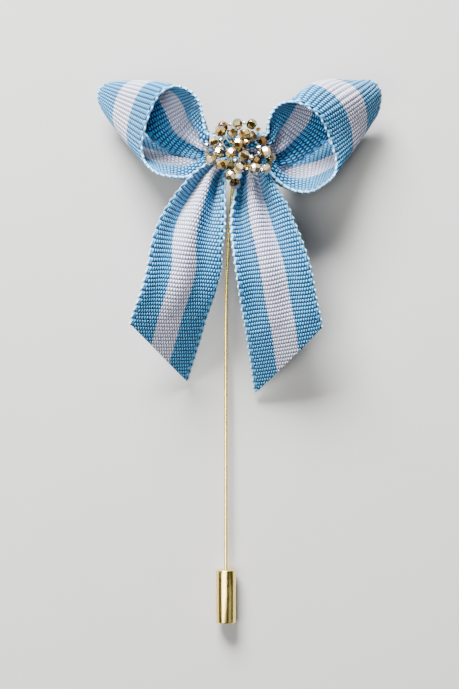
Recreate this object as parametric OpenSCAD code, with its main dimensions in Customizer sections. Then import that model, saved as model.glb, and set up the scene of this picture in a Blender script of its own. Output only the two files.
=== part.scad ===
// Cockade brooch: a striped ribbon bow with a bead cluster, on a long pin with a barrel clutch.
// It lies on its back. +X is the viewer's right, +Y runs from the clutch to the bow, +Z is its front.

/* [Ribbon] */
// Width of the ribbon
ribbon_w = 15; // [13:0.5:16]
// Thickness of the ribbon's walls
wall = 1; // [0.6:0.1:1]
// Pleats across a loop's gathered ends
loop_pleats = 3; // [2:1:3]
// Pleats across a tail's gathered top
tail_pleats = 2; // [1:1:2]
// Length of the tails' slanting cut, as a share of a tail
tail_slant = 0.155; // [0.1:0.005:0.3]

/* [Beads] */
// Diameter of a bead
bead_d = 2.1; // [1.6:0.1:2.1]
// Length of a bead along its hole
bead_l = 1.8; // [1.2:0.1:1.9]
// Diameter of a bead's flat ends
bead_table_d = 1.2; // [1:0.1:1.4]
// Width of the upright facets round a bead's middle
bead_girdle = 0.5; // [0.2:0.1:0.8]
// Diameter of a bead's hole
bead_hole_d = 0.6; // [0.5:0.05:0.7]
// Facets round a bead
bead_sides = 10; // [8:1:12]
// Diameter of the thread
thread_d = 0.2; // [0.1:0.02:0.22]

/* [Pin] */
// Diameter of the wire
wire_d = 0.7; // [0.6:0.05:0.8]
// Length of the wire's straight stretch, with its point
wire_straight = 55.8; // [50:0.2:56]
// Length of the point
point_l = 2; // [1:0.5:4]
// Radius of the wire's gentle bend below the bow
bend_r = 135; // [128:1:142]
// Angle that the wire bends through, up to its end in the pad
bend_angle = 13.3; // [13:0.1:13.4]
// Diameter of the glue pad behind the knot
pad_d = 6.4; // [5.6:0.2:6.8]
// Thickness of the glue pad
pad_t = 0.7; // [0.6:0.05:0.8]

/* [Clutch] */
// Diameter of the barrel
clutch_d = 4; // [3.5:0.1:4]
// Length of the barrel
clutch_l = 10.5; // [9.5:0.5:12]
// Bevel on the barrel's rims
clutch_bevel = 0.25; // [0.1:0.05:0.4]
// Depth of the bore
bore_l = 8.5; // [8.3:0.1:9]
// Clearance round the wire in the bore
bore_gap = 0.05; // [0.03:0.01:0.06]
// Wire inside the clutch
grip_l = 8; // [6:0.5:8]

/* [Hidden] */
$fn = 48;
blue = "#4f9fd8";
gold = "#c9a24a";
champagne = "#d8c79a";

// Columns of a ribbon table: the near selvedge's place, where a rib points, and the section's form.
// turn: the rib's direction seen from the front, counted from +X
// drop: how far the rib falls away from the viewer, in degrees
// bulge: how far the rib bows outward at its middle
// share: what is left of the ribbon's width after gathering
TURN = 3;
DROP = 4;
BULGE = 5;
SHARE = 6;

// near_x, near_y, near_z, turn, drop, bulge, share
LEFT_LOOP = [
    [-0.5, 41.2, 12.4, 270, 76, 0, 0.4],
    [-3.5, 41.2, 12.5, 270, 70, 0, 0.38],
    [-6.4, 42, 12.8, 258, 56, 0.5, 0.44],
    [-7.1, 45, 13.8, 226, 50, 1.2, 0.85],
    [-7.6, 47.6, 14.5, 208, 39, 1.5, 1],
    [-9.3, 49.8, 15.2, 193, 38, 1.5, 1],
    [-12, 50.8, 16, 178, 42, 1.1, 1],
    [-14.6, 49.8, 16, 164, 44, 0.8, 1],
    [-16.3, 47.7, 15, 157, 40, 0.6, 1],
    [-17.9, 44, 13.6, 146, 38, 0.4, 1],
    [-18.8, 40.3, 12, 135, 36, 0.5, 1],
    [-18.6, 37.8, 11.4, 129, 38, 0.5, 1],
    [-17.6, 36, 11.6, 122, 45, 0.5, 1],
    [-15.6, 34.5, 12.2, 111, 51, 0.5, 1],
    [-13, 34, 12.2, 105, 55, 0.4, 0.95],
    [-9.9, 34.2, 11.2, 101, 60, 0.2, 0.72],
    [-6.8, 36, 10.2, 95, 66, 0, 0.42],
    [-3.5, 37.7, 10, 90, 74, 0, 0.26],
    [-0.5, 37.9, 10, 90, 78, 0, 0.26]
];
RIGHT_LOOP = [
    [0.5, 41.2, 12.4, -90, 76, 0, 0.4],
    [3.2, 41.4, 12.6, -88, 68, 0, 0.4],
    [5.4, 42, 13, -72, 50, 0.5, 0.56],
    [5.6, 44.3, 13.8, -36, 44, 1.4, 0.9],
    [6.7, 46.8, 14, -24, 33, 2.2, 1],
    [8.5, 47.9, 14, -4, 33, 2.8, 1],
    [10.8, 47.9, 14.4, 18, 35, 2.8, 1],
    [13.4, 46.7, 14.6, 31, 33, 2, 1],
    [15.3, 45.2, 14, 36, 27, 1.3, 1],
    [16.7, 42.9, 12.4, 38, 24, 0.8, 1],
    [17.9, 40, 10.8, 43, 27, 0.6, 1],
    [18.7, 37, 9.8, 50, 31, 0.5, 1],
    [18.3, 34.5, 9.8, 60, 35, 0.5, 1],
    [16.4, 32.6, 10.4, 68, 40, 0.5, 1],
    [13.6, 31.1, 11.6, 77, 46, 0.5, 1],
    [10.3, 31.5, 11.4, 83, 54, 0.3, 0.88],
    [7.3, 33.6, 10.4, 86, 62, 0.1, 0.58],
    [5, 36.2, 9.9, 88, 72, 0, 0.32],
    [0.5, 37.7, 10, 90, 78, 0, 0.26]
];
LEFT_TAIL = [
    [-5.2, 37, 12.3, -8, 0, 0, 0.3],
    [-6.6, 35.9, 12.3, -12, 0, 0, 0.34],
    [-8.7, 34.3, 12.6, -17, 0, 0, 0.45],
    [-11.2, 31.6, 13.2, -19, 0, 0, 0.62],
    [-13.5, 28.5, 13.8, -16, 0, 0.2, 0.77],
    [-15.5, 25, 14.3, -11, 1, 0.3, 0.87],
    [-16.9, 21, 14.7, -6, 4, 0.4, 0.92],
    [-17.7, 16.7, 14.8, -2, 9, 0.4, 0.95],
    [-18.9, 12.2, 14.4, 0, 14, 0.4, 0.98],
    [-20.6, 7.3, 12.7, 0, 18, 0.4, 1],
    [-22.2, 1.4, 9.8, 0, 20, 0.3, 1],
    [-24.5, -5.6, 5.9, 0, 20, 0.3, 1]
];
RIGHT_TAIL = [
    [0.3, 36.4, 12.3, 4, 0, 0, 0.28],
    [0, 35.5, 12.3, 5, 0, 0, 0.32],
    [-0.6, 33.2, 12.5, 8, 0, 0, 0.42],
    [-1.3, 29.6, 13.2, 12, 0, 0, 0.57],
    [-1.6, 26, 13.6, 13, 0, 0.2, 0.72],
    [-1.5, 22.4, 13.9, 12, -1, 0.3, 0.81],
    [-1, 18.4, 14, 10, -3, 0.4, 0.89],
    [-0.4, 14, 13.1, 9, -7, 0.4, 0.95],
    [0.5, 8.4, 10.5, 9, -12, 0.4, 0.98],
    [1.3, 4, 8.6, 10, -14, 0.3, 1],
    [2.2, -1.6, 5.4, 10, -15, 0.3, 1],
    [3.1, -7.9, 1.3, 10, -15, 0.3, 1]
];

// Bead centres in the order that the thread takes them
BEADS = [
    [-0.9, 32.3, 15.4], [-1.8, 33.8, 17.4], [-3.3, 35.7, 17.8], [-4, 38.1, 17.4], [-1.4, 41.9, 16.8],
    [0.9, 41.7, 16.3], [-0.4, 39.8, 17], [-3.6, 42.1, 16.4], [-3.2, 43.3, 14.3], [-0.4, 43.7, 14.8],
    [2.3, 43.7, 14.4], [4.5, 40.6, 14.6], [5.8, 37.3, 14.9], [4.9, 35.1, 15.7], [2.9, 34.9, 17.9],
    [0.2, 35.3, 17.7], [-1.7, 37.9, 17.9], [-4.9, 40.2, 16.4], [-5.5, 36.8, 16.3], [-1.9, 35.8, 16],
    [3.1, 36.6, 16.3], [2.3, 41.4, 14.5], [0.5, 39.9, 14.7], [0.9, 37.4, 17.1], [4.9, 38.2, 16.7]
];

// Steps between two rows of a ribbon table, across a ribbon, and round the thread
steps = 3;
across = 12;
thread_sides = 6;
// Share of a ribbon's length over which its direction is measured
near_by = 0.004;
// Phases of the pleats: a loop's start level, a tail's ridges lie where its stripes catch the light
loop_phase = -0.25;
left_tail_phase = 0;
right_tail_phase = 0.16;
// Thread left standing out of a bead's hole before it may turn
thread_out = 0.15;
// Straight pieces that the thread swings from bead to bead in, and how hard the holes' directions pull
swing_parts = 5;
pull_range = [0.8, 2.5];

wire_x = -2.65;
wire_z = clutch_d / 2;
clutch_top = -42.8;
tip_y = clutch_top - grip_l;
bend_lean = 28;
tip_d = 0.15;
pad_at = [0, 38.3, 4.85];

function two_digits(i) = i < 10 ? str("0", i) : str(i);
function bead_name(i) = str("bead_", two_digits(i));
function unit(v) = v / norm(v);
function row_at(rows, i) = rows[min(max(i, 0), len(rows) - 1)];

// A smooth curve through the rows, with t from 0 at the first row to 1 at the last
function blend(a, b, c, d, t) =
    (2 * b + (c - a) * t + (2 * a - 5 * b + 4 * c - d) * t * t + (3 * b - a - 3 * c + d) * t * t * t) / 2;
function section(rows, t) =
    let (last = len(rows) - 1, i = min(floor(t * last), last - 1))
    blend(row_at(rows, i - 1), row_at(rows, i), row_at(rows, i + 1), row_at(rows, i + 2), t * last - i);

function near_edge(s) = [s[0], s[1], s[2]];
function rib(s) = [cos(s[TURN]) * cos(s[DROP]), sin(s[TURN]) * cos(s[DROP]), -sin(s[DROP])];
// The rib's chord: a bowed rib reaches less far than a straight one
function span(s) = ribbon_w * s[SHARE] - 8 / 3 * s[BULGE] * s[BULGE] / ribbon_w;
function middle(rows, t) = let (s = section(rows, t)) near_edge(s) + rib(s) * span(s) / 2;
function forward(rows, t) = unit(middle(rows, min(t + near_by, 1)) - middle(rows, max(t - near_by, 0)));
// Out of a loop or toward the front of a tail; side is 1 where the ribbon runs clockwise, else -1
function outward(rows, t, side) = side * unit(cross(forward(rows, t), rib(section(rows, t))));
// Gathering folds the width that the share leaves out into pleats
function pleat_depth(s, pleats) = ribbon_w * sqrt(max(1 - s[SHARE] * s[SHARE], 0)) / (4 * pleats);
function ribbon_point(rows, t, u, side, pleats, phase, lift) =
    let (
        s = section(rows, t),
        bow = s[BULGE] * 4 * u * (1 - u),
        pleat = pleat_depth(s, pleats) * cos(360 * (pleats * u + phase))
    )
    near_edge(s) + rib(s) * span(s) * u + outward(rows, t, side) * (bow + pleat + lift);

// A strip with its front and back skins; trim is what the cut takes off at the near and far selvedge
module ribbon(rows, side, pleats, phase, trim = [0, 0]) {
    along = steps * (len(rows) - 1);
    points = [
        for (i = [0 : along], j = [0 : across], lift = [wall / 2, -wall / 2])
            let (u = j / across, kept = 1 - trim[0] * (1 - u) - trim[1] * u)
            ribbon_point(rows, i / along * kept, u, side, pleats, phase, lift)
    ];
    faces = [
        for (i = [0 : along - 1], j = [0 : across - 1], back = [0, 1])
            for (f = two_triangles(corner(i, j, back), corner(i, j + 1, back),
                                   corner(i + 1, j + 1, back), corner(i + 1, j, back), back == 1)) f,
        for (i = [0 : along - 1], far = [0, 1])
            let (j = far * across)
            for (f = two_triangles(corner(i, j, 0), corner(i + 1, j, 0),
                                   corner(i + 1, j, 1), corner(i, j, 1), far == 1)) f,
        for (j = [0 : across - 1], end = [0, 1])
            let (i = end * along)
            for (f = two_triangles(corner(i, j + 1, 0), corner(i, j, 0),
                                   corner(i, j, 1), corner(i, j + 1, 1), end == 1)) f
    ];
    polyhedron(points, side > 0 ? faces : [for (f = faces) [f[2], f[1], f[0]]]);
}

function corner(i, j, back) = (i * (across + 1) + j) * 2 + back;
function two_triangles(a, b, c, d, turned) =
    turned ? [[c, b, a], [d, c, a]] : [[a, b, c], [a, c, d]];

module left_loop() {
    color(blue) ribbon(LEFT_LOOP, -1, loop_pleats, loop_phase);
}

module right_loop() {
    color(blue) ribbon(RIGHT_LOOP, 1, loop_pleats, loop_phase);
}

module left_tail() {
    color(blue) ribbon(LEFT_TAIL, 1, tail_pleats, left_tail_phase, [tail_slant, 0]);
}

module right_tail() {
    color(blue) ribbon(RIGHT_TAIL, 1, tail_pleats, right_tail_phase, [0, tail_slant]);
}

// A bead's hole points from the bead before it to the bead after it
function bead_axis(i) = unit(row_at(BEADS, i + 1) - row_at(BEADS, i - 1));

module bead(i) {
    axis = bead_axis(i);
    profile = [
        [bead_hole_d / 2, -bead_l / 2],
        [bead_table_d / 2, -bead_l / 2],
        [bead_d / 2, -bead_girdle / 2],
        [bead_d / 2, bead_girdle / 2],
        [bead_table_d / 2, bead_l / 2],
        [bead_hole_d / 2, bead_l / 2]
    ];
    color(champagne)
        translate(BEADS[i])
        rotate([0, acos(axis[2]), atan2(axis[1], axis[0])])
        rotate_extrude($fn = bead_sides) polygon(profile);
}

// The thread runs straight through each hole and swings from one bead round to the next
function swing(a, from, b, to, t) =
    let (pull = max(min(norm(b - a), pull_range[1]), pull_range[0]))
    a * (2 * t * t * t - 3 * t * t + 1) + from * pull * (t * t * t - 2 * t * t + t)
    + b * (3 * t * t - 2 * t * t * t) + to * pull * (t * t * t - t * t);
function hole_end(i, end) = BEADS[i] + bead_axis(i) * end * (bead_l / 2 + thread_out);
thread_route = [
    hole_end(0, -1),
    for (i = [0 : len(BEADS) - 2], k = [0 : swing_parts])
        swing(hole_end(i, 1), bead_axis(i), hole_end(i + 1, -1), bead_axis(i + 1), k / swing_parts),
    hole_end(len(BEADS) - 1, 1)
];
// The way that the thread goes on from a point of its route, or comes to its last one
function leg(i) =
    let (k = max(min(i, len(thread_route) - 2), 0))
    unit(thread_route[k + 1] - thread_route[k]);
// Spokes are the ways from the thread's middle to its sides; each bend mirrors them in its mitre
function thread_rings(i, spokes) =
    i >= len(thread_route) ? [] :
    let (before = leg(i - 1), mitre = unit(before + leg(i)))
    concat(
        [[for (v = spokes) thread_route[i] + v - before * (v * mitre) / (before * mitre)]],
        thread_rings(i + 1, [for (v = spokes) v - 2 * (v * mitre) * mitre])
    );

module bead_thread() {
    across_leg = unit(cross(leg(0), [0, 0, 1]));
    up_leg = cross(leg(0), across_leg);
    spokes = [
        for (k = [0 : thread_sides - 1])
            let (angle = 360 * k / thread_sides)
            thread_d / 2 * (across_leg * cos(angle) + up_leg * sin(angle))
    ];
    rings = thread_rings(0, spokes);
    last = len(rings) - 1;
    points = [for (ring = rings, p = ring) p];
    faces = [
        [for (k = [0 : thread_sides - 1]) k],
        for (i = [0 : last - 1], k = [0 : thread_sides - 1])
            let (
                a = i * thread_sides + k,
                b = i * thread_sides + (k + 1) % thread_sides
            )
            for (f = [[a, a + thread_sides, b], [b, a + thread_sides, b + thread_sides]]) f,
        [for (k = [thread_sides - 1 : -1 : 0]) last * thread_sides + k]
    ];
    color("white") polyhedron(points, faces);
}

module pin() {
    profile = [
        [0, 0],
        [tip_d / 2, 0],
        [wire_d / 2, point_l],
        [wire_d / 2, wire_straight],
        [0, wire_straight]
    ];
    color(gold) {
        translate([wire_x, tip_y, wire_z]) rotate([-90, 0, 0]) rotate_extrude() polygon(profile);
        translate([wire_x, tip_y + wire_straight, wire_z])
            rotate([0, bend_lean, 0])
            rotate([0, 90, 0])
            translate([-bend_r, 0, 0])
            rotate_extrude(angle = bend_angle) translate([bend_r, 0]) circle(d = wire_d);
        translate(pad_at) cylinder(d = pad_d, h = pad_t);
    }
}

module clutch() {
    profile = [
        [0, 0],
        [clutch_d / 2 - clutch_bevel, 0],
        [clutch_d / 2, clutch_bevel],
        [clutch_d / 2, clutch_l - clutch_bevel],
        [clutch_d / 2 - clutch_bevel, clutch_l],
        [0, clutch_l]
    ];
    color(gold)
        translate([wire_x, clutch_top, wire_z])
        rotate([90, 0, 0])
        difference() {
            rotate_extrude() polygon(profile);
            translate([0, 0, -1]) cylinder(r = wire_d / 2 + bore_gap, h = bore_l + 1);
        }
}

left_loop();
right_loop();
left_tail();
right_tail();
for (i = [1 : len(BEADS)]) {
    bead(i - 1);
}
bead_thread();
pin();
clutch();
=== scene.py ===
"""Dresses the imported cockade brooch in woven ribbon, cut glass and gold, and lays it on a pale floor."""

import math
from collections import namedtuple

import bmesh
import bpy
from bpy.props import FloatProperty, FloatVectorProperty, IntProperty, PointerProperty
from mathutils import Matrix, Quaternion, Vector


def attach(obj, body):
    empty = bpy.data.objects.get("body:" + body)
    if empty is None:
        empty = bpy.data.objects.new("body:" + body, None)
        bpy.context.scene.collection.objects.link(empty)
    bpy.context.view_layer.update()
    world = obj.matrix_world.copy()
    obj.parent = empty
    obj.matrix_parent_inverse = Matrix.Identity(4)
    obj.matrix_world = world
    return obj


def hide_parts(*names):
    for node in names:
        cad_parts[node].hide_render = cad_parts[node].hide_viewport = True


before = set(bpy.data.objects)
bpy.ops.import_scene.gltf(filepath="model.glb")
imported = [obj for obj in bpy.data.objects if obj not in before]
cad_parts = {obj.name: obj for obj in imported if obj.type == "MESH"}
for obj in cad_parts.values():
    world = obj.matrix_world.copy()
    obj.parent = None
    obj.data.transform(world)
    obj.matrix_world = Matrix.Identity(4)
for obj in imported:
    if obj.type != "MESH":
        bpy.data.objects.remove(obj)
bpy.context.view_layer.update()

bl_info = {
    "name": "Cockade brooch",
    "version": (1, 0, 0),
    "blender": (4, 5, 0),
    "location": "3D View > Sidebar > Brooch",
    "description": "Weaves, beads and gilds a cockade brooch and lays it on a floor",
    "category": "Object",
}

MM = 0.001
MAIN = "bow_and_pin"
CLUTCH = "barrel_clutch"

# The ribbon's path, section by section, in millimetres and degrees. near is one selvedge, and a rib
# points from it by turn, seen from the front, and by drop, away from the viewer. bulge bows the rib
# outward, share is what gathering leaves of the width, and lean, where it is above 0, crowds the weave
# to the far selvedge.
Section = namedtuple("Section", "near_x near_y near_z turn drop bulge share lean")

LEFT_LOOP = [Section(*row) for row in (
    (-0.2, 41.2, 12.4, 270, 76, 0, 0.4, 0.6),
    (-3.5, 41.2, 12.5, 270, 70, 0, 0.38, 0.7),
    (-6.4, 42, 12.8, 258, 56, 0.5, 0.44, 0.7),
    (-7.1, 45, 13.8, 226, 50, 1.2, 0.85, 0.4),
    (-7.6, 47.6, 14.5, 208, 39, 1.5, 1, -0.1),
    (-9.3, 49.8, 15.2, 193, 38, 1.5, 1, -0.2),
    (-12, 50.8, 16, 178, 42, 1.1, 1, -0.1),
    (-14.6, 49.8, 16, 164, 44, 0.8, 1, -0.1),
    (-16.3, 47.7, 15, 157, 40, 0.6, 1, -0.2),
    (-17.9, 44, 13.6, 146, 38, 0.4, 1, -0.2),
    (-18.8, 40.3, 12, 135, 36, 0.5, 1, -0.2),
    (-18.6, 37.8, 11.4, 129, 38, 0.5, 1, -0.1),
    (-17.6, 36, 11.6, 122, 45, 0.5, 1, 0),
    (-15.6, 34.5, 12.2, 111, 51, 0.5, 1, 0),
    (-13, 34, 12.2, 105, 55, 0.4, 0.95, 0),
    (-9.9, 34.2, 11.2, 101, 60, 0.2, 0.72, 0),
    (-6.8, 36, 10.2, 95, 66, 0, 0.42, 0),
    (-3.5, 37.7, 10, 90, 74, 0, 0.26, 0),
    (-0.2, 37.9, 10, 90, 78, 0, 0.26, 0),
)]
RIGHT_LOOP = [Section(*row) for row in (
    (0.2, 41.2, 12.4, -90, 76, 0, 0.4, 0.2),
    (3.2, 41.4, 12.6, -88, 68, 0, 0.4, 0.2),
    (5.4, 42, 13, -72, 50, 0.5, 0.56, 0.2),
    (5.6, 44.3, 13.8, -36, 44, 1.4, 0.9, 0),
    (6.7, 46.8, 14, -24, 33, 2.2, 1, 0),
    (8.5, 47.9, 14, -4, 33, 2.8, 1, 0),
    (10.8, 47.9, 14.4, 18, 35, 2.8, 1, 0),
    (13.4, 46.7, 14.6, 31, 33, 2, 1, 0),
    (15.3, 45.2, 14, 36, 27, 1.3, 1, 0),
    (16.7, 42.9, 12.4, 38, 24, 0.8, 1, 0),
    (17.9, 40, 10.8, 43, 27, 0.6, 1, 0),
    (18.7, 37, 9.8, 50, 31, 0.5, 1, 0),
    (18.3, 34.5, 9.8, 60, 35, 0.5, 1, 0),
    (16.4, 32.6, 10.4, 68, 40, 0.5, 1, 0),
    (13.6, 31.1, 11.6, 77, 46, 0.5, 1, 0),
    (10.3, 31.5, 11.4, 83, 54, 0.3, 0.88, 0),
    (7.3, 33.6, 10.4, 86, 62, 0.1, 0.58, 0),
    (5, 36.2, 10, 88, 72, 0, 0.32, 0),
    (0.2, 37.7, 10.15, 90, 78, 0, 0.26, 0),
)]
LEFT_TAIL = [Section(*row) for row in (
    (-5.2, 37, 12.3, -8, 0, 0, 0.3, -0.3),
    (-6.6, 35.9, 12.3, -12, 0, 0, 0.31, -0.35),
    (-8.7, 34.3, 12.6, -17, 0, 0, 0.41, -0.4),
    (-11.2, 31.6, 13.2, -19, 0, 0, 0.585, -0.45),
    (-13.5, 28.5, 13.8, -16, 0, 0.2, 0.74, -0.45),
    (-15.5, 25, 14.3, -11, 1, 0.3, 0.85, -0.35),
    (-16.9, 21, 14.7, -6, 4, 0.4, 0.905, -0.15),
    (-17.7, 16.7, 14.8, -2, 9, 0.4, 0.95, 0),
    (-18.9, 12.2, 14.4, 0, 14, 0.4, 0.98, 0),
    (-20.6, 7.3, 12.7, 0, 18, 0.4, 1, 0),
    (-22.2, 1.4, 9.8, 0, 20, 0.3, 1, 0),
    (-24.5, -5.6, 5.9, 0, 20, 0.3, 1, 0),
)]
RIGHT_TAIL = [Section(*row) for row in (
    (0.9, 36.4, 12.3, 4, 0, 0, 0.24, 0),
    (0.6, 35.5, 12.3, 5, 0, 0, 0.28, 0),
    (-0.1, 33.2, 12.5, 8, 0, 0, 0.385, 0),
    (-1, 29.6, 13.2, 12, 0, 0, 0.55, 0),
    (-1.6, 26, 13.6, 13, 0, 0.2, 0.72, 0),
    (-1.5, 22.4, 13.9, 12, -1, 0.3, 0.81, 0),
    (-1, 18.4, 14, 10, -3, 0.4, 0.89, 0),
    (-0.4, 14, 13.1, 9, -7, 0.4, 0.95, 0),
    (0.5, 8.4, 10.5, 9, -12, 0.4, 0.98, 0),
    (1.3, 4, 8.6, 10, -14, 0.3, 1, 0),
    (2.2, -1.6, 5.4, 10, -15, 0.3, 1, 0),
    (3.1, -7.9, 1.3, 10, -15, 0.3, 1, 0),
)]

# side is 1 or -1, whichever turns the ribbon's outer face outward. pleats and phase are how many folds
# the gathering makes across it and where they begin. cut is the share of the path, counted in sections,
# that the slanting cut takes off at the near and at the far selvedge.
Strip = namedtuple("Strip", "node rows side pleats phase cut rests_on")
STRIPS = {
    "left_loop": Strip("left_loop", LEFT_LOOP, -1, 3, -0.25, (0, 0), ("pin",)),
    "right_loop": Strip("right_loop", RIGHT_LOOP, 1, 3, -0.25, (0, 0), ("pin",)),
    "left_tail": Strip("left_tail", LEFT_TAIL, 1, 2, 0, (0.155, 0), ("left_loop",)),
    "right_tail": Strip("right_tail", RIGHT_TAIL, 1, 2, 0.16, (0, 0.155), ("right_loop",)),
}

# Bead centres in the order that the thread takes them, in millimetres, with each bead's glass
Bead = namedtuple("Bead", "x y z glass")
BEADS = [Bead(*row) for row in (
    (-0.9, 32.3, 15.4, "brown"), (-1.8, 33.8, 17.4, "clear"), (-3.3, 35.7, 17.8, "gold"),
    (-4, 38.1, 17.4, "clear"), (-1.4, 41.9, 16.8, "clear"), (0.9, 41.7, 16.3, "gold"),
    (-0.4, 39.8, 17, "gold"), (-3.6, 42.1, 16.4, "gold"), (-3.2, 43.3, 14.3, "brown"),
    (-0.4, 43.7, 14.8, "olive"), (2.3, 43.7, 14.4, "olive"), (4.5, 40.6, 14.6, "brown"),
    (5.8, 37.3, 14.9, "clear"), (4.9, 35.1, 15.7, "clear"), (2.9, 34.9, 17.9, "clear"),
    (0.2, 35.3, 17.7, "gold"), (-1.7, 37.9, 17.9, "gold"), (-4.9, 40.2, 16.4, "clear"),
    (-5.5, 36.8, 16.3, "gold"), (-1.9, 35.8, 16, "olive"), (3.1, 36.6, 16.3, "brown"),
    (2.3, 41.4, 14.5, "clear"), (0.5, 39.9, 14.7, "gold"), (0.9, 37.4, 17.1, "clear"),
    (4.9, 38.2, 16.7, "clear"),
)]
# Numbers of the beads, from 1, that show the key light in a facet, where the others turn up an edge
GLINTING = (2, 3, 4, 7, 12, 15, 17, 18, 25)

# Small beads on the thread between the larger ones: after which bead, how far on to the next, the
# diameter in millimetres, and the glass
Spacer = namedtuple("Spacer", "after share size glass")
SPACERS = [Spacer(*row) for row in (
    (4, 0.12, 0.85, "gold"), (5, 0.28, 0.85, "clear"), (6, 0.5, 1.3, "gold"), (7, 0.15, 0.8, "gold"),
    (8, 0.5, 0.8, "gold"), (9, 0.72, 0.8, "olive"), (10, 0.3, 0.75, "olive"), (11, 0.3, 1.1, "gold"),
    (12, 0.5, 1.5, "brown"), (13, 0.45, 0.8, "clear"), (14, 0.5, 1.05, "brown"), (15, 0.55, 0.8, "gold"),
    (16, 0.5, 0.95, "gold"), (17, 0.8, 0.9, "gold"), (18, 0.25, 1, "clear"), (18, 0.85, 0.9, "gold"),
    (19, 0.42, 1.3, "olive"), (20, 0.2, 1.2, "olive"), (20, 0.65, 1.4, "gold"), (21, 0.5, 1.3, "brown"),
    (22, 0.8, 0.65, "gold"), (23, 0.3, 1.35, "gold"), (24, 0.2, 0.95, "gold"), (24, 0.88, 0.75, "brown"),
)]

# How large a spacer's hole, its flat ends, half its length and half its girdle are against its radius
SPACER_HOLE, SPACER_TABLE, SPACER_END, SPACER_GIRDLE = 0.52, 0.66, 0.64, 0.28
SPACER_HOLE_LIMIT = 0.00026  # largest radius of a spacer's hole, in metres
SPACER_SIDES = 6
SPACER_SEED = 31  # where the spacers' facets begin, past those of the beads

# The thread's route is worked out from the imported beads, in metres
BEAD_LENGTH = 0.0018
THREAD_OUT = 0.00015  # how far the thread runs straight out of a hole
THREAD_PULL = (0.0008, 0.0025)  # least and most that a hole's direction pulls the thread
THREAD_STEP = 0.04  # share of the way to the next bead over which its direction is measured

# How a bead is cut and hung
BEAD_PLAY = math.radians(5)  # how far a bead tilts on its thread
CORNER_AT = 0.99  # share of the radius beyond which a point is a corner
CORNER_CUT = 0.12  # how much of a corner is cut off, against the radius
HOLE_WALL = 1e-5  # a face within this of the hole's radius, in metres, is its lining
FACET_STEPS = (0.618034, 0.37)  # steps from facet to facet and from bead to bead in the painted shade and reflection of the glass

# How finely the ribbon is measured and divided
NEAR_BY = 0.004  # share of a ribbon's path over which its direction is measured
MARKS = 600  # steps in which its length is measured
COLUMNS = 32  # faces across it
ROWS_A_RIB = 8  # faces along it for each rib
TOUCHING = 1e-7  # points this near to each other count as one, in metres
CUT_MERGE = 2e-6  # the same along the slanting cut

# How the cloth's thickness and edge vary
SCALLOP_REACH = 0.0006  # how far in from a selvedge the scallops are felt, in metres
CREST = 0.7  # power that rounds the crest of a rib
EDGE_THINNING = 0.6  # share of a rib's height that is lost at a selvedge

# The weave. Places across the ribbon are shares of its width for the stripe, and else millimetres from
# the nearer selvedge.
STRIPE = (0.34, 0.66)  # where the white stripe begins and ends
STRIPE_BLUR = 0.006
STRIPE_JUMP = 0.004  # how far the stripe's edge jumps from rib to rib
YARN_WANDER = 0.125  # how far a warp yarn strays
BRICKS, RIB_SWELL = 0.36, 0.28  # parts of the height that the brick-like floats and the ribs make
FLOAT_HEIGHTS = (0.48, 0.68)  # heights between which a gap in painted shade becomes a float
RIM_HIGHLIGHT_FADE = (0.12, 0.26)  # where the painted highlight along the selvedge fades
HOLES_BEGIN, HOLES_END = (0.16, 0.22), (0.5, 0.6)  # the row of small holes just in from that highlight, painted dark as shade
HOLE_BLUR = 0.2  # how softly a hole begins and ends along the ribbon
PLAIN_EDGE = (0.5, 0.7)  # where the strip that hardly shows the painted shade of its gaps fades

# What the gaps in the cloth keep of the blue and of the white as painted shade, the cloth's shade, and the
# painted highlight along its edge
GAP_SHADE_BLUE, GAP_SHADE_WHITE = (0, 0.03, 0.05), (0.24, 0.26, 0.36)
CLOTH_SHADE, SHADE_DEPTH = (0.02, 0.08, 0.25), 0.22
RIM_HIGHLIGHT_BLUE, RIM_HIGHLIGHT_COVER = (0.35, 0.68, 0.95), 0.7

# Colour and roughness of each glass
GLASSES = {
    "clear": ((0.80, 0.66, 0.36), 0.02),
    "gold": ((0.72, 0.48, 0.14), 0.03),
    "olive": ((0.45, 0.38, 0.13), 0.03),
    "brown": ((0.26, 0.15, 0.06), 0.04),
}
# Painted shade and reflection of the facets: what shaded facets keep of the colour squared and half-lit ones
# of the colour, and where each kind ends
SHADED_FACET_KEEP, HALF_LIT_FACET_KEEP = 0.06, 0.6
SHADED_FACET_ENDS, HALF_LIT_FACET_ENDS = (0.3, 0.62), (0.65, 0.95)

# The pin lies in a plane that leans to the right as it bends up to its pad, in millimetres and degrees
WIRE_AT = (-2.65, -50.8, 2)
STRAIGHT = 55.8
POINT, TIP = 2, 0.2  # how long the point is, and the blunter part at its tip
BEND_RADIUS = 135
BEND_ANGLE = 13.3
BEND_LEAN = 28
PAD_AT = (0, 38.3, 4.85)
PAD = (6.4, 0.7)  # diameter and thickness
CLUTCH_AT = (-2.65, -42.8, 2)

# Finer sizes of the metal, in metres
TIP_RADII = (0.00008, 0.00013)
PAD_BEVEL = 0.00008
CLUTCH_BEVEL = 0.00025
CLUTCH_PLAY = 0.00005  # room round the wire in the clutch's bore
BORE_DEPTH = 0.0085
LEAD_IN = 0.0001  # bevel at the bore's mouth

# Faces round the wire and round the pad and clutch, and steps along the wire and round a bevel
WIRE_SIDES, ROUND_SIDES = 20, 64
STRAIGHT_STEPS, BEND_STEPS, BEVEL_STEPS = 14, 24, 4
SHARP = math.radians(50)  # the clutch's edges are sharp from this angle on

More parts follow.
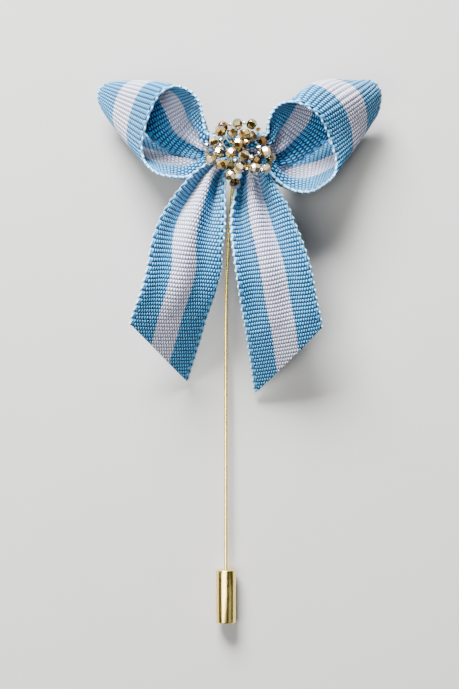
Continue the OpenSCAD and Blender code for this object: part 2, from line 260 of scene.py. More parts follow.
# Where each light hangs, its size and its power, in metres and watts, and its colour
KEY_LIGHT = Vector((-0.16, 0.5, 0.33))
Lamp = namedtuple("Lamp", "name place size power colour")
LAMPS = (
    Lamp("key", KEY_LIGHT, (0.32, 0.26), 31.0, (1, 0.99, 0.97)),
    Lamp("side", Vector((-0.18, -0.06, 0.46)), (0.24, 0.44), 3.2, (1, 0.98, 0.94)),
    Lamp("fill", Vector((0.45, -0.2, 0.4)), (0.3, 0.3), 0.15, (0.92, 0.96, 1)),
)
LAMPS_AIM = Vector((0, 0.01, 0.005))
GLINT = (KEY_LIGHT.normalized() + Vector((0, 0, 1))).normalized()  # a facet facing this way shows it
ROOM_LIGHT = ((0.9, 0.94, 1, 1), 0.03)  # colour and strength of the light from all round

FLOOR_SIZE = 2  # half the floor's side, in metres
FLOOR_DROP = 0.0001  # how far the floor lies under the brooch, in metres
FLOOR_TONES = (0.98, 1.03)  # how dark and how light the floor gets against its colour

# The camera looks straight down on this point, in metres, with a lens and a sensor in millimetres
CAMERA_OVER = (-0.00194, 0.00165)
LENS, SENSOR = 100, 36
CLIP = (0.01, 10)


# Sizes and colours that a user would change


class BROOCH_PG_ribbon(bpy.types.PropertyGroup):
    width: FloatProperty(name="Width", description="Width of the ribbon", default=0.015, unit="LENGTH")
    thickness: FloatProperty(
        name="Thickness", description="Thickness of the cloth at a rib", default=0.0006, unit="LENGTH")
    rib_pitch: FloatProperty(
        name="Rib pitch", description="From one rib to the next", default=0.00078, unit="LENGTH")
    rib_height: FloatProperty(
        name="Rib height", description="From a rib's crest to the groove", default=0.0003, unit="LENGTH")
    yarn_pitch: FloatProperty(
        name="Yarn pitch", description="From one warp yarn to the next", default=0.00025, unit="LENGTH")
    scallop_pitch: FloatProperty(
        name="Scallop pitch", description="From one scallop of the selvedge to the next",
        default=0.00156, unit="LENGTH")
    scallop_depth: FloatProperty(
        name="Scallop depth", description="How far a scallop stands out", default=0.00022, unit="LENGTH")
    blue: FloatVectorProperty(
        name="Light blue", description="Colour of the two outer stripes", subtype="COLOR",
        default=(0.005, 0.48, 1), size=3)
    white: FloatVectorProperty(
        name="White", description="Colour of the middle stripe", subtype="COLOR",
        default=(0.86, 0.85, 0.95), size=3)


class BROOCH_PG_beads(bpy.types.PropertyGroup):
    diameter: FloatProperty(name="Diameter", description="Diameter of a bead", default=0.00218, unit="LENGTH")
    length: FloatProperty(
        name="Length", description="Length of a bead along its hole", default=0.00185, unit="LENGTH")
    table: FloatProperty(
        name="Table", description="Diameter of a bead's flat ends", default=0.0012, unit="LENGTH")
    girdle: FloatProperty(
        name="Girdle", description="Width of the facets round the middle", default=0.0009, unit="LENGTH")
    hole: FloatProperty(name="Hole", description="Diameter of a bead's hole", default=0.0006, unit="LENGTH")
    sides: IntProperty(name="Sides", description="Facets round a bead", default=8, min=6, max=16)


class BROOCH_PG_metal(bpy.types.PropertyGroup):
    gold: FloatVectorProperty(
        name="Gold", description="Colour of the gold plate", subtype="COLOR",
        default=(0.92, 0.68, 0.19), size=3)
    wire: FloatProperty(name="Wire", description="Diameter of the pin's wire", default=0.0007, unit="LENGTH")
    clutch: FloatProperty(
        name="Clutch", description="Diameter of the clutch's barrel", default=0.004, unit="LENGTH")
    clutch_length: FloatProperty(
        name="Clutch length", description="Length of the clutch's barrel", default=0.0105, unit="LENGTH")


class BROOCH_PG_stage(bpy.types.PropertyGroup):
    floor: FloatVectorProperty(
        name="Floor", description="Colour of the floor", subtype="COLOR", default=(0.36, 0.36, 0.36), size=3)
    camera_height: FloatProperty(
        name="Camera height", description="Height of the lens above the floor", default=0.38, unit="LENGTH")


# The ribbon's shape


def curve(a, b, c, d, t):
    """A smooth curve from b to c, with t from 0 to 1."""
    return (2 * b + (c - a) * t + (2 * a - 5 * b + 4 * c - d) * t**2 + (3 * b - a - 3 * c + d) * t**3) / 2


def section(rows, t):
    """The section at t, from 0 at the first row to 1 at the last."""
    last = len(rows) - 1
    i = min(int(t * last), last - 1)
    four = [rows[min(max(k, 0), last)] for k in (i - 1, i, i + 1, i + 2)]
    return Section(*(curve(a, b, c, d, t * last - i) for a, b, c, d in zip(*four)))


def rib(s):
    """The direction of a section's rib."""
    turn, drop = math.radians(s.turn), math.radians(s.drop)
    return Vector((math.cos(turn) * math.cos(drop), math.sin(turn) * math.cos(drop), -math.sin(drop)))


def near(s):
    """Where its rib begins, on the near selvedge."""
    return Vector((s.near_x, s.near_y, s.near_z)) * MM


def span(s, width):
    """How far its rib reaches: a shallow bow is longer than its chord by 8/3 of its rise squared over it."""
    return width * s.share - 8 / 3 * (s.bulge * MM) ** 2 / width


def middle(rows, t, width):
    """The middle of the rib at t."""
    s = section(rows, t)
    return near(s) + rib(s) * span(s, width) / 2


class Ribs:
    """Places points of a flat strip, measured across and along it, on its gathered and looped form."""

    def __init__(self, strip, width):
        self.strip, self.width, self.found = strip, width, {}
        points = [middle(strip.rows, k / MARKS, width) for k in range(MARKS + 1)]
        self.marks = [0.0]
        for a, b in zip(points, points[1:]):
            self.marks.append(self.marks[-1] + (b - a).length)
        self.length = self.marks[-1]

    def share_at(self, along):
        """The strip's t at a length along its middle."""
        low, high = 0, MARKS
        while high - low > 1:
            k = (low + high) // 2
            low, high = (k, high) if self.marks[k] <= along else (low, k)
        part = (along - self.marks[low]) / (self.marks[high] - self.marks[low])
        return min(max((low + part) / MARKS, 0), 1)

    def length_at_share(self, t):
        """The length along the middle at a t of the strip."""
        k = t * MARKS
        low = min(int(k), MARKS - 1)
        return self.marks[low] + (k - low) * (self.marks[low + 1] - self.marks[low])

    def at(self, along):
        """What places the points at a length, kept for the other points of the same row."""
        key = round(along, 7)
        if key not in self.found:
            strip, width = self.strip, self.width
            t = self.share_at(along)
            s = section(strip.rows, t)
            ahead, behind = min(t + NEAR_BY, 1), max(t - NEAR_BY, 0)
            forward = middle(strip.rows, ahead, width) - middle(strip.rows, behind, width)
            out = strip.side * forward.cross(rib(s)).normalized()
            pleat = width * math.sqrt(max(1 - s.share**2, 0)) / (4 * strip.pleats)
            self.found[key] = (s, near(s), rib(s), out, span(s, width), pleat)
        return self.found[key]

    def place(self, u, along, beyond):
        """u runs from 0 at the near selvedge to 1 at the far one, and beyond pushes out past a selvedge."""
        s, start, direction, out, reach, pleat = self.at(along)
        across = u + s.lean * u * (1 - u)
        fold = pleat * math.cos(2 * math.pi * (self.strip.pleats * across + self.strip.phase))
        bow = s.bulge * MM * 4 * across * (1 - across)
        return start + direction * (reach * across + beyond) + out * (bow + fold)


def cut_plane(strip, ribs, width):
    """A point on the slanting cut of the flat strip, and the cut's normal on the side that falls off."""
    near_end = ribs.length_at_share(1 - strip.cut[0])
    far_end = ribs.length_at_share(1 - strip.cut[1])
    slope = Vector((width, far_end - near_end, 0))
    return Vector((0, near_end, 0)), Vector((-slope.y, slope.x, 0)).normalized()


def add_piece(name, mesh_maker, materials, smooth=True):
    """A new object at the origin, whose mesh a bmesh gives."""
    mesh = bpy.data.meshes.new(name)
    mesh_maker.to_mesh(mesh)
    mesh_maker.free()
    piece = bpy.data.objects.new(name, mesh)
    bpy.context.scene.collection.objects.link(piece)
    for material in materials:
        mesh.materials.append(material)
    mesh.polygons.foreach_set("use_smooth", [smooth] * len(mesh.polygons))
    return piece


def weave_strip(strip, look):
    """A strip of ribbon with its flat length and area: a flat grid, cut on the slant, is laid on the bow."""
    ribs = Ribs(strip, look.width)
    flat = bmesh.new()
    rows = round(ribs.length / look.rib_pitch * ROWS_A_RIB)
    bmesh.ops.create_grid(flat, x_segments=COLUMNS, y_segments=rows, size=0.5)
    for v in flat.verts:
        v.co = Vector(((v.co.x + 0.5) * look.width, (v.co.y + 0.5) * ribs.length, 0))
    if max(strip.cut) > 0:
        point, normal = cut_plane(strip, ribs, look.width)
        bmesh.ops.bisect_plane(
            flat, geom=flat.verts[:] + flat.edges[:] + flat.faces[:], dist=TOUCHING,
            plane_co=point, plane_no=normal, clear_outer=True, clear_inner=False)
        bmesh.ops.remove_doubles(flat, verts=flat.verts, dist=CUT_MERGE)
    area = sum(f.calc_area() for f in flat.faces)
    weave = flat.loops.layers.uv.new("weave")
    for f in flat.faces:
        for loop in f.loops:
            loop[weave].uv = (loop.vert.co.x / MM, loop.vert.co.y / MM)
    swell = flat.verts.layers.deform.new()
    for v in flat.verts:
        u, along = v.co.x / look.width, v.co.y
        edge = max(0.0, 1 - min(u, 1 - u) * look.width / SCALLOP_REACH)
        crest = abs(math.cos(math.pi * along / look.rib_pitch)) ** CREST
        v[swell][0] = crest * (1 - EDGE_THINNING * edge)
        scallop = look.scallop_depth * (0.5 + 0.5 * math.cos(2 * math.pi * along / look.scallop_pitch))
        v.co = ribs.place(u, along, edge * scallop * (1 if u > 0.5 else -1))
    piece = add_piece(strip.node + "_ribbon", flat, [ribbon_material(look)])
    piece.vertex_groups.new(name="ribs")
    wall = piece.modifiers.new("wall", "SOLIDIFY")
    wall.thickness, wall.offset, wall.use_even_offset = look.thickness, 0, False
    wall.vertex_group, wall.thickness_vertex_group = "ribs", 1 - look.rib_height / look.thickness
    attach(piece, MAIN)
    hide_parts(strip.node)
    return piece, ribs.length, area


# Materials


def node(tree, kind, x=0, y=0, **settings):
    made = tree.nodes.new(kind)
    made.location = (x, y)
    for key, value in settings.items():
        setattr(made, key, value)
    return made


def feed(tree, made, values):
    """Links a node's inputs to the outputs given for them, or sets them to the plain values given."""
    for key, value in values.items():
        if isinstance(value, bpy.types.NodeSocket):
            tree.links.new(value, made.inputs[key])
        elif value is not None:
            made.inputs[key].default_value = value


def calc(tree, operation, a, b=None, c=None):
    made = node(tree, "ShaderNodeMath", operation=operation)
    feed(tree, made, {0: a, 1: b, 2: c})
    return made.outputs[0]


def step(tree, value, low, high, to_low=0.0, to_high=1.0):
    """Goes softly from to_low to to_high while the value goes from low to high."""
    made = node(tree, "ShaderNodeMapRange", interpolation_type="SMOOTHSTEP")
    feed(tree, made, {"Value": value, "From Min": low, "From Max": high, "To Min": to_low, "To Max": to_high})
    return made.outputs["Result"]


def fall(tree, value, low, high):
    return step(tree, value, low, high, 1.0, 0.0)


def noise(tree, place, scale, detail=2, dimensions="3D"):
    made = node(tree, "ShaderNodeTexNoise", noise_dimensions=dimensions)
    feed(tree, made, {"Vector": place, "Scale": scale, "Detail": detail})
    return made.outputs[0]


def mix(tree, factor, a, b, blend="MIX"):
    """Mixes two colours, each of them plain or another node's output."""
    made = node(tree, "ShaderNodeMix", data_type="RGBA", blend_type=blend)
    a, b = ((*colour, 1) if isinstance(colour, tuple) else colour for colour in (a, b))
    feed(tree, made, {0: factor, 6: a, 7: b})
    return made.outputs[2]


def group(name, place, numbers, outputs):
    """A new node group that turns a place and some numbers into values, its inputs and its output node."""
    made = bpy.data.node_groups.new(name, "ShaderNodeTree")
    made.interface.new_socket(place, in_out="INPUT", socket_type="NodeSocketVector")
    for socket, default in numbers.items():
        taken = made.interface.new_socket(socket, in_out="INPUT", socket_type="NodeSocketFloat")
        taken.default_value = default
    for socket in outputs:
        made.interface.new_socket(socket, in_out="OUTPUT", socket_type="NodeSocketFloat")
    return made, node(made, "NodeGroupInput", -900).outputs, node(made, "NodeGroupOutput", 900)


def weave_group():
    """Grosgrain: its height, its floats, its white stripe, a painted highlight along its selvedge, a row of
    small holes painted in shade, and a shade.
    """
    made, into, out = group(
        "grosgrain weave", "Across and along",
        {"Yarn pitch": 0.25, "Rib pitch": 0.78, "Width": 15.0, "Scallop pitch": 1.56},
        ("Height", "Float", "White", "Selvedge highlight", "Picot shade", "Shade"))
    place, width = into["Across and along"], into["Width"]
    split = node(made, "ShaderNodeSeparateXYZ")
    feed(made, split, {0: place})
    across, along = split.outputs[0], split.outputs[1]
    stray = calc(made, "SUBTRACT", noise(made, place, scale=0.8, detail=1, dimensions="2D"), 0.5)
    strayed = calc(made, "ADD", across, calc(made, "MULTIPLY", stray, YARN_WANDER))
    yarns = calc(made, "DIVIDE", strayed, into["Yarn pitch"])
    ribs = calc(made, "DIVIDE", along, into["Rib pitch"])
    row = calc(made, "COSINE", calc(made, "MULTIPLY", yarns, math.pi))
    column = calc(made, "COSINE", calc(made, "MULTIPLY", ribs, math.pi))
    bricks = calc(made, "MULTIPLY_ADD", calc(made, "MULTIPLY", row, column), BRICKS, BRICKS)
    height = calc(made, "MULTIPLY_ADD", calc(made, "ABSOLUTE", column), RIB_SWELL, bricks)
    to_edge = calc(made, "MINIMUM", across, calc(made, "SUBTRACT", width, across))
    plain = step(made, to_edge, *PLAIN_EDGE, to_low=0.8, to_high=0.0)
    jump = calc(made, "MULTIPLY", column, STRIPE_JUMP)
    ragged = calc(made, "ADD", calc(made, "DIVIDE", across, width), jump)
    begin, end = ((at - STRIPE_BLUR, at + STRIPE_BLUR) for at in STRIPE)
    scallops = calc(made, "DIVIDE", along, into["Scallop pitch"])
    wave = calc(made, "COSINE", calc(made, "MULTIPLY", scallops, 2 * math.pi))
    band = calc(made, "MULTIPLY", step(made, to_edge, *HOLES_BEGIN), fall(made, to_edge, *HOLES_END))
    feed(made, out, {
        "Height": height,
        "Float": calc(made, "MAXIMUM", step(made, height, *FLOAT_HEIGHTS), plain),
        "White": calc(made, "MULTIPLY", step(made, ragged, *begin), fall(made, ragged, *end)),
        "Selvedge highlight": fall(made, to_edge, *RIM_HIGHLIGHT_FADE),
        "Picot shade": calc(made, "MULTIPLY", band, step(made, wave, -HOLE_BLUR, HOLE_BLUR)),
        "Shade": noise(made, place, scale=3.5, detail=3, dimensions="2D"),
    })
    return made


def wear_group():
    """Fine scratches and clouding of plated metal, as masks from 0 to 1."""
    made, into, out = group(
        "plate wear", "Vector", {"Scale": 900.0, "Stretch": 0.05}, ("Scratches", "Clouds"))
    stretch = node(made, "ShaderNodeCombineXYZ")
    feed(made, stretch, {0: 1, 1: into["Stretch"], 2: 1})
    along = node(made, "ShaderNodeVectorMath", operation="MULTIPLY")
    feed(made, along, {0: into["Vector"], 1: stretch.outputs[0]})
    fine = noise(made, along.outputs[0], scale=calc(made, "MULTIPLY", into["Scale"], 6.0), detail=4)
    feed(made, out, {
        "Scratches": step(made, fine, 0.45, 0.75),
        "Clouds": noise(made, into["Vector"], scale=into["Scale"]),
    })
    return made


def shared(name, maker):
    """The node group of that name, made if there is none yet."""
    return bpy.data.node_groups.get(name) or maker()


def new_material(name):
    """A new material, with its tree and its Principled BSDF."""
    made = bpy.data.materials.new(name)
    made.use_nodes = True
    return made, made.node_tree, made.node_tree.nodes["Principled BSDF"]


def bump(tree, shader, height, strength, distance):
    made = node(tree, "ShaderNodeBump", -200, -350)
    feed(tree, made, {"Height": height, "Strength": strength, "Distance": distance})
    feed(tree, shader, {"Normal": made.outputs[0]})


def ribbon_material(look):
    found = bpy.data.materials.get("striped grosgrain")
    if found:
        return found
    made, tree, shader = new_material("striped grosgrain")
    uv = node(tree, "ShaderNodeUVMap", -1100, 0, uv_map="weave")
    weave = node(tree, "ShaderNodeGroup", -850, 0, node_tree=shared("grosgrain weave", weave_group))
    feed(tree, weave, {
        "Across and along": uv.outputs[0],
        "Yarn pitch": look.yarn_pitch / MM,
        "Rib pitch": look.rib_pitch / MM,
        "Width": look.width / MM,
        "Scallop pitch": look.scallop_pitch / MM,
    })
    blue, white = tuple(look.blue), tuple(look.white)
    # The gaps between the floats are painted in shade: near black in the blue, lilac-grey in the white
    painted_gap_shade_blue = tuple(c * kept for c, kept in zip(blue, GAP_SHADE_BLUE))
    painted_gap_shade_white = tuple(c * kept for c, kept in zip(white, GAP_SHADE_WHITE))
    stripe, floats = weave.outputs["White"], weave.outputs["Float"]
    cloth = mix(tree, floats, mix(tree, stripe, painted_gap_shade_blue, painted_gap_shade_white), mix(tree, stripe, blue, white))
    shade = step(tree, weave.outputs["Shade"], 0.3, 0.7, to_high=SHADE_DEPTH)
    shaded = mix(tree, shade, cloth, CLOTH_SHADE, "MULTIPLY")
    # The paler line along the selvedge is a painted highlight
    rim_highlighted = mix(tree, calc(tree, "MULTIPLY", weave.outputs["Selvedge highlight"], RIM_HIGHLIGHT_COVER), shaded, RIM_HIGHLIGHT_BLUE)
    feed(tree, shader, {
        # The row of holes by the selvedge is painted in the blue gaps' shade
        "Base Color": mix(tree, weave.outputs["Picot shade"], rim_highlighted, painted_gap_shade_blue),
        "Roughness": step(tree, floats, 0, 1, to_low=0.85, to_high=0.5),
        "Sheen Weight": 0.15,
        "Sheen Roughness": 0.5,
        "Specular IOR Level": 0.45,
    })
    bump(tree, shader, weave.outputs["Height"], strength=1.0, distance=0.00032)
    return made


def glass_material(kind):
    found = bpy.data.materials.get("champagne glass, " + kind)
    if found:
        return found
    colour, roughness = GLASSES[kind]
    made, tree, shader = new_material("champagne glass, " + kind)
    facet = node(tree, "ShaderNodeAttribute", -1100, 200, attribute_name="facet")
    place = node(tree, "ShaderNodeTexCoord", -1100, 0)
    # By its value, with some cloud, a facet gets painted shade, a half-lit tone, and at the top the full
    # colour as a painted reflection
    cloud = noise(tree, place.outputs["Object"], scale=1500)
    depth = calc(tree, "ADD", facet.outputs["Fac"], calc(tree, "MULTIPLY_ADD", cloud, 0.5, -0.25))
    dark = tuple(c * c * SHADED_FACET_KEEP for c in colour)
    body = tuple(c * HALF_LIT_FACET_KEEP for c in colour)
    painted_facet_shade = mix(tree, step(tree, depth, *SHADED_FACET_ENDS), dark, body)
    feed(tree, shader, {
        "Base Color": mix(tree, step(tree, depth, *HALF_LIT_FACET_ENDS), painted_facet_shade, colour),
        "Transmission Weight": 0.6,
        "Roughness": roughness,
        "IOR": 1.56,
        "Coat Weight": 1,
        "Coat IOR": 1.7,
        "Coat Roughness": 0.02,
    })
    return made


def gold_material(look, name="polished gold plate", roughness=0.2):
    found = bpy.data.materials.get(name)
    if found:
        return found
    made, tree, shader = new_material(name)
    place = node(tree, "ShaderNodeTexCoord", -1100, 0)
    wear = node(tree, "ShaderNodeGroup", -850, 0, node_tree=shared("plate wear", wear_group))
    feed(tree, wear, {"Vector": place.outputs["Object"]})
    gold = tuple(look.gold)
    pale = tuple(min(1, c * 1.12 + 0.05) for c in gold)
    feed(tree, shader, {
        "Base Color": mix(tree, step(tree, wear.outputs["Clouds"], 0.4, 0.65), gold, pale),
        "Roughness": calc(tree, "MULTIPLY_ADD", wear.outputs["Scratches"], 0.1, roughness),
        "Metallic": 1,
    })
    bump(tree, shader, wear.outputs["Scratches"], strength=0.1, distance=0.000005)
    return made


def thread_material():
    made, tree, shader = new_material("nylon thread")
    place = node(tree, "ShaderNodeTexCoord", -900, 0)
    twist = node(tree, "ShaderNodeTexWave", -700, 0)
    feed(tree, twist, {"Vector": place.outputs["Object"], "Scale": 2500})
    feed(tree, shader, {
        "Base Color": mix(tree, twist.outputs["Fac"], (0.9, 0.85, 0.7), (1, 0.98, 0.92)),
        "Roughness": 0.12,
        "Transmission Weight": 0.95,
        "IOR": 1.3,
    })
    return made


def floor_material(colour):
    made, tree, shader = new_material("pale floor")
    place = node(tree, "ShaderNodeTexCoord", -900, 0)
    dark, light = (tuple(c * tone for c in colour) for tone in FLOOR_TONES)
    paper = noise(tree, place.outputs["Object"], scale=60, detail=4)
    feed(tree, shader, {"Base Color": mix(tree, paper, dark, light), "Roughness": 0.75})
    return made


# Beads and metal


def lathe(profile, sides, closed=True):
    """A solid turned round Z from a profile of (radius, height) pairs."""
    made = bmesh.new()
    points = [made.verts.new((r, 0, z)) for r, z in profile]
    after = points[1:] + points[:1] if closed else points[1:]
    edges = [made.edges.new(pair) for pair in zip(points, after)]
    bmesh.ops.spin(
        made, geom=points + edges, cent=(0, 0, 0), axis=(0, 0, 1), dvec=(0, 0, 0),
        angle=2 * math.pi, steps=sides, use_merge=True, use_duplicate=False)
    bmesh.ops.remove_doubles(made, verts=made.verts, dist=TOUCHING)
    bmesh.ops.recalc_face_normals(made, faces=made.faces)
    # Merging leaves the faces in another order each run, and the glass is shaded by it, so place decides
    placed = sorted(made.faces, key=lambda f: [round(c, 6) for c in f.calc_center_median()])
    made.faces.sort(key=placed.index)
    return made


def bead_at(number):
    return Vector(BEADS[number][:3]) * MM


def bead_axis(number):
    """A bead's hole points from the bead before it to the bead after it."""
    return (bead_at(min(number + 1, len(BEADS) - 1)) - bead_at(max(number - 1, 0))).normalized()


def on_thread(number, t):
    """A place on the thread, with t from 0 where it leaves a bead to 1 where it enters the next."""
    reach = THREAD_OUT + BEAD_LENGTH / 2
    a = bead_at(number) + bead_axis(number) * reach
    b = bead_at(number + 1) - bead_axis(number + 1) * reach
    pull = max(min((b - a).length, THREAD_PULL[1]), THREAD_PULL[0])
    return (
        a * (2 * t**3 - 3 * t**2 + 1) + bead_axis(number) * pull * (t**3 - 2 * t**2 + t)
        + b * (3 * t**2 - 2 * t**3) + bead_axis(number + 1) * pull * (t**3 - t**2))


def thread_axis(number, t):
    """The direction of the thread there."""
    return (on_thread(number, t + THREAD_STEP) - on_thread(number, t - THREAD_STEP)).normalized()


def bead_profile(hole, table, wide, end, band):
    """The closed outline of one side of a bead, from its hole outward and back."""
    return [(hole, -end), (table, -end), (wide, -band), (wide, band), (table, end), (hole, end)]


def facet_bead(profile, sides, place, axis, seed, material, glints=True):
    """A drilled bead, its corners cut off, that shows the key light in a facet or else turns up an edge."""
    made = lathe(profile, sides)
    widest = max(r for r, z in profile)
    hole = min(r for r, z in profile)
    corners = [v for v in made.verts if v.co.xy.length > widest * CORNER_AT]
    bmesh.ops.bevel(
        made, geom=corners, offset=widest * CORNER_CUT, segments=1, profile=0.5, affect="VERTICES",
        material=-1, clamp_overlap=True)
    turn = axis.to_track_quat("Z", "Y").to_matrix()
    light = turn.inverted() @ GLINT
    turn = turn @ Matrix.Rotation(math.atan2(light.y, light.x) - (math.pi / sides if glints else 0), 3, "Z")
    # Each face's value decides the painted shade and reflection that the glass gives it
    facet = made.faces.layers.float.new("facet")
    for k, f in enumerate(made.faces):
        f[facet] = (k * FACET_STEPS[0] + seed * FACET_STEPS[1]) % 1
        lining = all(abs(v.co.xy.length - hole) < HOLE_WALL for v in f.verts)
        f.material_index = len(GLASSES) if lining else material
    bmesh.ops.transform(made, matrix=turn.to_4x4(), verts=made.verts)
    made.normal_update()
    nearest = max((f.normal for f in made.faces), key=lambda n: n.dot(GLINT))
    tilt = nearest.rotation_difference(GLINT)
    tilt = Quaternion(tilt.axis, min(tilt.angle, BEAD_PLAY) if glints else 0)
    bmesh.ops.transform(made, matrix=Matrix.Translation(place) @ tilt.to_matrix().to_4x4(), verts=made.verts)
    return made


def wire_stations(radius):
    """Places along the wire's middle from its point on, each with its direction and its radius there."""
    start, ahead = Vector(WIRE_AT), Vector((0, 1, 0))
    made = [(start, ahead, TIP_RADII[0]), (start + ahead * TIP, ahead, TIP_RADII[1])]
    for k in range(STRAIGHT_STEPS + 1):
        along = POINT + (STRAIGHT - POINT) * k / STRAIGHT_STEPS
        made.append((start + ahead * along, ahead, radius))
    lean = math.radians(BEND_LEAN)
    up = Vector((math.sin(lean), 0, math.cos(lean)))
    bend_start = start + ahead * STRAIGHT
    for k in range(1, BEND_STEPS + 1):
        a = math.radians(BEND_ANGLE * k / BEND_STEPS)
        place = bend_start + ahead * BEND_RADIUS * math.sin(a) + up * BEND_RADIUS * (1 - math.cos(a))
        made.append((place, ahead * math.cos(a) + up * math.sin(a), radius))
    return [(place * MM, direction, r) for place, direction, r in made]


def stand(verts, place, direction, radius):
    """Sets a ring of points square to a direction, at a place, with a radius."""
    side = Vector((0, 0, 1)).cross(direction).normalized()
    up = direction.cross(side)
    for k, v in enumerate(verts):
        a = 2 * math.pi * k / len(verts)
        v.co = place + (side * math.cos(a) + up * math.sin(a)) * radius


# Operators


class BROOCH_OT_loops(bpy.types.Operator):
    """Weaves the two loops of the bow"""

    bl_idname = "brooch.loops"
    bl_label = "Weave the loops"

    def execute(self, context):
        look = context.scene.brooch_ribbon
        for name in ("left_loop", "right_loop"):
            strip = STRIPS[name]
            piece, length = weave_strip(strip, look)[:2]
        return {"FINISHED"}


class BROOCH_OT_tails(bpy.types.Operator):
    """Weaves the two hanging tails and cuts them on the slant"""

    bl_idname = "brooch.tails"
    bl_label = "Weave the tails"

    def execute(self, context):
        look = context.scene.brooch_ribbon
        for name in ("left_tail", "right_tail"):
            strip = STRIPS[name]
            piece, length, area = weave_strip(strip, look)
        return {"FINISHED"}


class BROOCH_OT_beads(bpy.types.Operator):
    """Cuts the glass beads of the cluster and the small ones between them"""

    bl_idname = "brooch.beads"
    bl_label = "Cut the beads"

    def execute(self, context):
        look = context.scene.brooch_beads
        kinds = list(GLASSES)
        glasses = [glass_material(kind) for kind in kinds]
        glasses.append(gold_material(context.scene.brooch_metal, "gold lining", roughness=0.25))
        profile = bead_profile(
            look.hole / 2, look.table / 2, look.diameter / 2, look.length / 2, look.girdle / 2)
        for k, bead in enumerate(BEADS):
            made = facet_bead(
                profile, look.sides, bead_at(k), bead_axis(k), k, kinds.index(bead.glass),
                glints=k + 1 in GLINTING)
            name = "bead_%02d" % (k + 1)
            piece = add_piece(name + "_glass", made, glasses, smooth=False)
            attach(piece, MAIN)
            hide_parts(name)
        for k, spacer in enumerate(SPACERS):
            r = spacer.size / 2 * MM
            hole = min(SPACER_HOLE_LIMIT, r * SPACER_HOLE)
            profile = bead_profile(hole, r * SPACER_TABLE, r, r * SPACER_END, r * SPACER_GIRDLE)
            at = (spacer.after - 1, spacer.share)
            made = facet_bead(
                profile, SPACER_SIDES, on_thread(*at), thread_axis(*at), k + SPACER_SEED,
                kinds.index(spacer.glass))
            piece = add_piece("spacer_%02d" % (k + 1), made, glasses, smooth=False)
            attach(piece, MAIN)
        return {"FINISHED"}


class BROOCH_OT_thread(bpy.types.Operator):
    """Gives the thread that holds the beads its nylon"""

    bl_idname = "brooch.thread"
    bl_label = "Finish the thread"

    def execute(self, context):
        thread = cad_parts["bead_thread"]
        thread.data.materials.clear()
        thread.data.materials.append(thread_material())
        return {"FINISHED"}


class BROOCH_OT_pin(bpy.types.Operator):
    """Draws the pin's wire and sets it in its pad"""

    bl_idname = "brooch.pin"
    bl_label = "Draw the pin"

    def execute(self, context):
        look = context.scene.brooch_metal
        made = bmesh.new()
        ring = bmesh.ops.create_circle(made, cap_ends=True, segments=WIRE_SIDES, radius=1)["verts"]
        stations = wire_stations(look.wire / 2)
        stand(ring, *stations[0])
        for station in stations[1:]:
            end = max(made.faces, key=lambda f: f.calc_center_median().y)
            out = bmesh.ops.extrude_discrete_faces(made, faces=[end])["faces"][0]
            stand(out.verts, *station)
        bmesh.ops.recalc_face_normals(made, faces=made.faces)
        wire = add_piece("pin_wire", made, [gold_material(look)])
        pad, radius = bmesh.new(), PAD[0] / 2 * MM
        bmesh.ops.create_cone(
            pad, cap_ends=True, segments=ROUND_SIDES, radius1=radius, radius2=radius, depth=PAD[1] * MM,
            matrix=Matrix.Translation((Vector(PAD_AT) + Vector((0, 0, PAD[1] / 2))) * MM))
        rims = [e for e in pad.edges if abs(e.verts[0].co.z - e.verts[1].co.z) < TOUCHING]
        bmesh.ops.bevel(
            pad, geom=rims, offset=PAD_BEVEL, segments=2, profile=0.5, affect="EDGES", material=-1,
            clamp_overlap=True)
        plate = add_piece("pin_pad", pad, [gold_material(look)])
        for piece in (wire, plate):
            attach(piece, MAIN)
        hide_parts("pin")
        return {"FINISHED"}


class BROOCH_OT_clutch(bpy.types.Operator):
    """Turns the clutch that caps the pin"""

    bl_idname = "brooch.clutch"
    bl_label = "Turn the clutch"

    def execute(self, context):
        look = context.scene.brooch_metal
        r, length, bevel = look.clutch / 2, look.clutch_length, CLUTCH_BEVEL
        bore = look.wire / 2 + CLUTCH_PLAY
        turns = [math.pi / 2 * k / BEVEL_STEPS for k in range(BEVEL_STEPS + 1)]
        profile = [
            (0, BORE_DEPTH), (bore, BORE_DEPTH), (bore, LEAD_IN), (bore + LEAD_IN, 0),
            *((r - bevel + bevel * math.sin(a), bevel - bevel * math.cos(a)) for a in turns),
            *((r - bevel + bevel * math.cos(a), length - bevel + bevel * math.sin(a)) for a in turns),
            (0, length),
        ]
        made = lathe(profile, ROUND_SIDES, closed=False)
        turn = Matrix.Rotation(math.pi / 2, 4, "X")
        bmesh.ops.transform(made, matrix=Matrix.Translation(Vector(CLUTCH_AT) * MM) @ turn, verts=made.verts)
        barrel = add_piece("clutch_barrel", made, [gold_material(look)])
        barrel.data.set_sharp_from_angle(angle=SHARP)
        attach(barrel, CLUTCH)
        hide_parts("clutch")
        return {"FINISHED"}


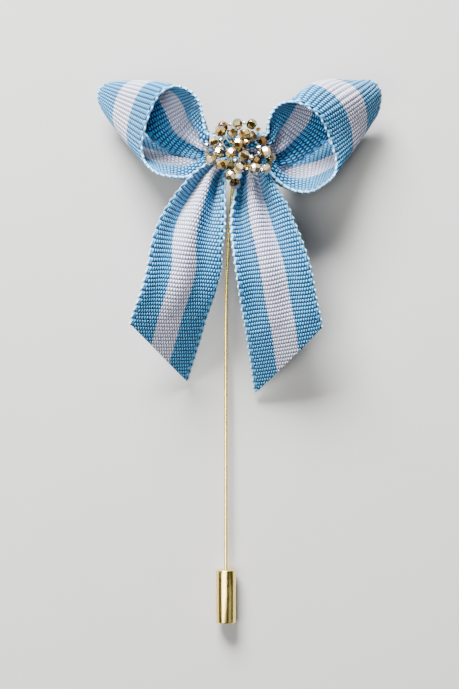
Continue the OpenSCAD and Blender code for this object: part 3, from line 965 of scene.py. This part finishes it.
class BROOCH_OT_stage(bpy.types.Operator):
    """Lays the floor, hangs the lights and sets the camera straight above"""

    bl_idname = "brooch.stage"
    bl_label = "Set the stage"

    def execute(self, context):
        look = context.scene.brooch_stage
        made = bmesh.new()
        bmesh.ops.create_grid(made, x_segments=1, y_segments=1, size=FLOOR_SIZE)
        bmesh.ops.translate(made, verts=made.verts, vec=(0, 0, -FLOOR_DROP))
        add_piece("floor", made, [floor_material(tuple(look.floor))])
        for name, place, size, power, colour in LAMPS:
            light = bpy.data.lights.new(name, "AREA")
            light.shape, light.energy, light.color = "RECTANGLE", power, colour
            light.size, light.size_y = size
            lamp = bpy.data.objects.new(name, light)
            context.scene.collection.objects.link(lamp)
            lamp.location = place
            lamp.rotation_euler = (LAMPS_AIM - place).to_track_quat("-Z", "Y").to_euler()
        world = bpy.data.worlds.new("studio")
        world.use_nodes = True
        feed(world.node_tree, world.node_tree.nodes["Background"], dict(enumerate(ROOM_LIGHT)))
        context.scene.world = world
        camera = bpy.data.objects.new("camera", bpy.data.cameras.new("camera"))
        context.scene.collection.objects.link(camera)
        camera.data.lens, camera.data.sensor_width = LENS, SENSOR
        camera.data.clip_start, camera.data.clip_end = CLIP
        camera.location = (*CAMERA_OVER, look.camera_height)
        context.scene.camera = camera
        return {"FINISHED"}


class BROOCH_PT_panel(bpy.types.Panel):
    """Lists the brooch's pieces and their sizes"""

    bl_label = "Cockade brooch"
    bl_idname = "BROOCH_PT_panel"
    bl_space_type = "VIEW_3D"
    bl_region_type = "UI"
    bl_category = "Brooch"

    def draw(self, context):
        for kind in OPERATORS:
            self.layout.operator(kind.bl_idname)
        for name, settings in SETTINGS.items():
            box = self.layout.box()
            values = getattr(context.scene, name)
            for prop in settings.__annotations__:
                box.prop(values, prop)


SETTINGS = {
    "brooch_ribbon": BROOCH_PG_ribbon,
    "brooch_beads": BROOCH_PG_beads,
    "brooch_metal": BROOCH_PG_metal,
    "brooch_stage": BROOCH_PG_stage,
}
OPERATORS = (
    BROOCH_OT_loops, BROOCH_OT_tails, BROOCH_OT_beads, BROOCH_OT_thread,
    BROOCH_OT_pin, BROOCH_OT_clutch, BROOCH_OT_stage,
)


def register():
    for kind in (*SETTINGS.values(), *OPERATORS, BROOCH_PT_panel):
        bpy.utils.register_class(kind)
    for name, settings in SETTINGS.items():
        setattr(bpy.types.Scene, name, PointerProperty(type=settings))


def unregister():
    for name in SETTINGS:
        delattr(bpy.types.Scene, name)
    for kind in reversed((*SETTINGS.values(), *OPERATORS, BROOCH_PT_panel)):
        bpy.utils.unregister_class(kind)


def main():
    register()
    bpy.ops.brooch.loops()
    bpy.ops.brooch.tails()
    bpy.ops.brooch.beads()
    bpy.ops.brooch.thread()
    bpy.ops.brooch.pin()
    bpy.ops.brooch.clutch()
    bpy.ops.brooch.stage()


if __name__ == "__main__":
    main()
